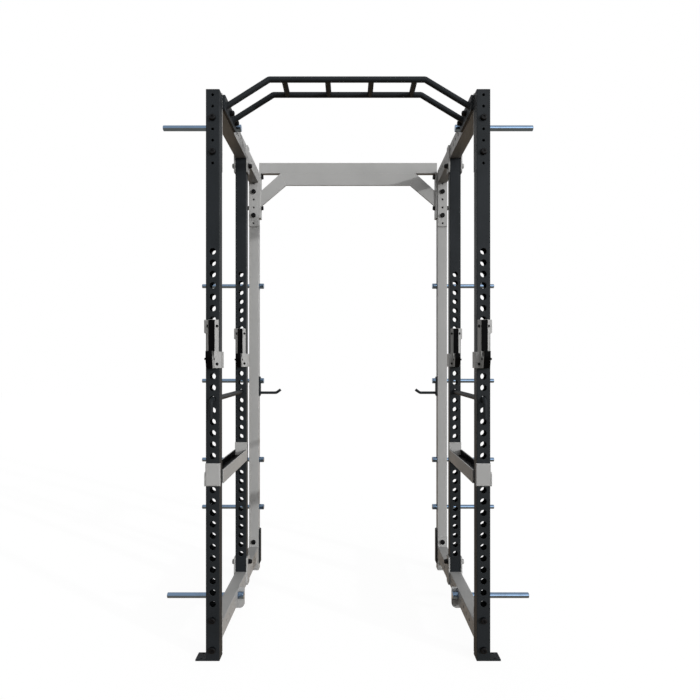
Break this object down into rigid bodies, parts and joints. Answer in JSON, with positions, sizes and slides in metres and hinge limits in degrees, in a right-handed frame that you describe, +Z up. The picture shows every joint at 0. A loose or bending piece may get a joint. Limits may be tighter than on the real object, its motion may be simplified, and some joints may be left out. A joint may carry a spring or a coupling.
{
  "type": "power cage",
  "caption": "Free-standing power cage with perforated posts, J-hooks, safety arms, safety rods, storage pegs, a rear crossmember and a multi-grip pull-up bar.",
  "frame": {"origin": "on the floor, at the middle of the whole cage in width and depth", "axes": "+Z up, -Y out of the open front towards the user, +X to the right of someone facing the front"},
  "size_m": [1.854, 1.323, 2.616],
  "materials": {
    "black_coat": "fine-textured black powder coat",
    "grey_coat": "satin silver-grey powder coat",
    "panel_coat": "satin silver-grey powder coat, blank",
    "chrome": "bright chrome plate",
    "black_plastic": "dense matt black plastic",
    "black_fasteners": "black oxide"
  },
  "bodies": {
    "frame": {"accessory_hook_left": "black_coat", "accessory_hook_right": "black_coat", "beam_bolts": "black_fasteners", "beam_pegs": "chrome", "bottom_beam_flanges": "grey_coat", "bottom_beam_left": "grey_coat", "bottom_beam_right": "grey_coat", "bottom_gussets": "grey_coat", "crossmember_beam": "grey_coat", "crossmember_bolts": "black_fasteners", "crossmember_flange_left": "grey_coat", "crossmember_flange_right": "grey_coat", "crossmember_strut_left": "grey_coat", "crossmember_strut_right": "grey_coat", "frame_nuts": "black_fasteners", "frame_washers": "black_fasteners", "front_feet": "black_coat", "front_upright_left": "black_coat", "front_upright_right": "black_coat", "guard_plates": "black_coat", "gusset_bolts": "grey_coat", "middle_upright_left": "black_coat", "middle_upright_right": "black_coat", "peg_brackets": "grey_coat", "pullup_bolts": "black_fasteners", "pullup_flange_left": "black_coat", "pullup_flange_right": "black_coat", "pullup_front_bar": "black_coat", "pullup_grips": "black_coat", "pullup_rear_bar": "black_coat", "rear_feet": "grey_coat", "rear_upright_left": "grey_coat", "rear_upright_right": "grey_coat", "sign_panel": "panel_coat", "storage_pegs_left": "chrome", "storage_pegs_right": "chrome", "top_beam_flanges": "grey_coat", "top_beam_left": "grey_coat", "top_beam_right": "grey_coat", "top_gussets": "grey_coat", "upright_caps": "black_plastic"},
    "front_jhook_left_assembly": {"front_jhook_left": "grey_coat", "front_jhook_left_liner": "black_plastic", "front_jhook_left_screws": "black_fasteners"},
    "middle_jhook_left_assembly": {"middle_jhook_left": "grey_coat", "middle_jhook_left_liner": "black_plastic", "middle_jhook_left_screws": "black_fasteners"},
    "safety_arm_left_assembly": {"safety_arm_left": "grey_coat", "safety_arm_liner_left": "black_plastic"},
    "safety_rod_left_assembly": {"safety_rod_left": "black_coat"},
    "front_jhook_right_assembly": {"front_jhook_right": "grey_coat", "front_jhook_right_liner": "black_plastic", "front_jhook_right_screws": "black_fasteners"},
    "middle_jhook_right_assembly": {"middle_jhook_right": "grey_coat", "middle_jhook_right_liner": "black_plastic", "middle_jhook_right_screws": "black_fasteners"},
    "safety_arm_right_assembly": {"safety_arm_right": "grey_coat", "safety_arm_liner_right": "black_plastic"},
    "safety_rod_right_assembly": {"safety_rod_right": "black_coat"}
  },
  "joints": [
    {"name": "front_jhook_left_turn", "type": "hinge", "parent": "frame", "child": "front_jhook_left_assembly", "pos_m": [-0.595, -0.5835, 1.3988], "axis": [0, -1, 0], "range_deg": [0, 90]},
    {"name": "middle_jhook_left_turn", "type": "hinge", "parent": "frame", "child": "middle_jhook_left_assembly", "pos_m": [-0.595, 0.1165, 1.3988], "axis": [0, -1, 0], "range_deg": [0, 90]},
    {"name": "safety_arm_left_turn", "type": "hinge", "parent": "frame", "child": "safety_arm_left_assembly", "pos_m": [-0.595, -0.5835, 0.8488], "axis": [0, 1, 0], "range_deg": [0, 60]},
    {"name": "safety_rod_left_pull", "type": "slide", "parent": "frame", "child": "safety_rod_left_assembly", "axis": [0, -1, 0], "range_m": [0, 0.7]},
    {"name": "front_jhook_right_turn", "type": "hinge", "parent": "frame", "child": "front_jhook_right_assembly", "pos_m": [0.595, -0.5835, 1.3988], "axis": [0, 1, 0], "range_deg": [0, 90]},
    {"name": "middle_jhook_right_turn", "type": "hinge", "parent": "frame", "child": "middle_jhook_right_assembly", "pos_m": [0.595, 0.1165, 1.3988], "axis": [0, 1, 0], "range_deg": [0, 90]},
    {"name": "safety_arm_right_turn", "type": "hinge", "parent": "frame", "child": "safety_arm_right_assembly", "pos_m": [0.595, -0.5835, 0.8488], "axis": [0, -1, 0], "range_deg": [0, 60]},
    {"name": "safety_rod_right_pull", "type": "slide", "parent": "frame", "child": "safety_rod_right_assembly", "axis": [0, -1, 0], "range_m": [0, 0.7]}
  ]
}
